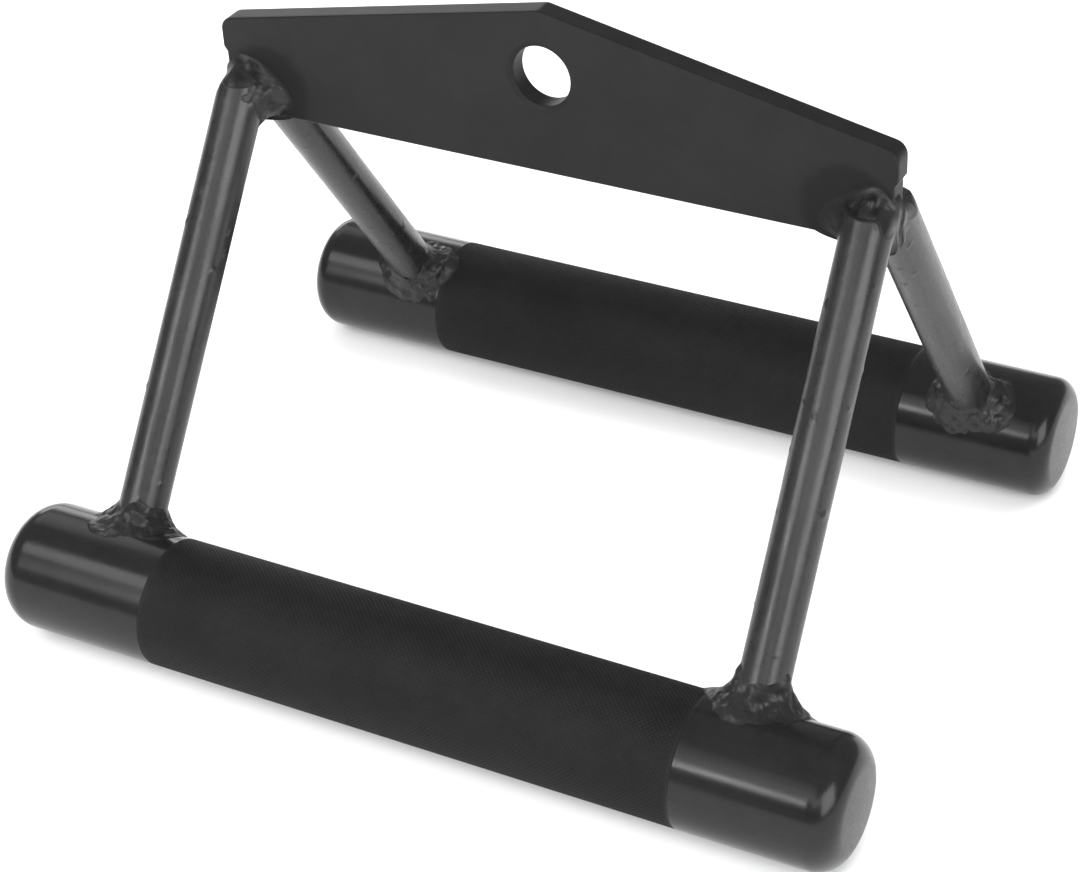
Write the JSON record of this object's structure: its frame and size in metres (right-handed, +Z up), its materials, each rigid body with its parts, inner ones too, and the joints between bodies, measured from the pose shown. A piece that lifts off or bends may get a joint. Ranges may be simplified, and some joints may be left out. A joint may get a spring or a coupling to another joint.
{
  "type": "row handle",
  "caption": "Welded steel cable row handle: parallel knurled round grips joined by leaning rods to a peaked plate drilled for a carabiner.",
  "frame": {"origin": "bottom centre of the bounding box, on the surface that both grips rest on; the hanger plate and its hole are centred 2.5 mm to +X of it", "axes": "+X along the grips to the right as seen from the front, +Y to the rear, from the front grip to the rear one, +Z up to the hanger hole"},
  "size_m": [0.229, 0.1862, 0.154],
  "materials": {
    "plate_paint": "satin black paint on flat bar",
    "strut_paint": "semi-gloss black paint on round rod",
    "grip_paint": "black paint, glossy at the ends and matt on the knurled band",
    "weld_paint": "semi-gloss black paint over lumpy weld beads"
  },
  "bodies": {
    "root": {"hanger_plate": "plate_paint", "grip_front": "grip_paint", "strut_front_left": "strut_paint", "grip_weld_front_left": "weld_paint", "plate_weld_front_left": "weld_paint", "strut_front_right": "strut_paint", "grip_weld_front_right": "weld_paint", "plate_weld_front_right": "weld_paint", "grip_rear": "grip_paint", "strut_rear_left": "strut_paint", "grip_weld_rear_left": "weld_paint", "plate_weld_rear_left": "weld_paint", "strut_rear_right": "strut_paint", "grip_weld_rear_right": "weld_paint", "plate_weld_rear_right": "weld_paint"}
  },
  "joints": []
}
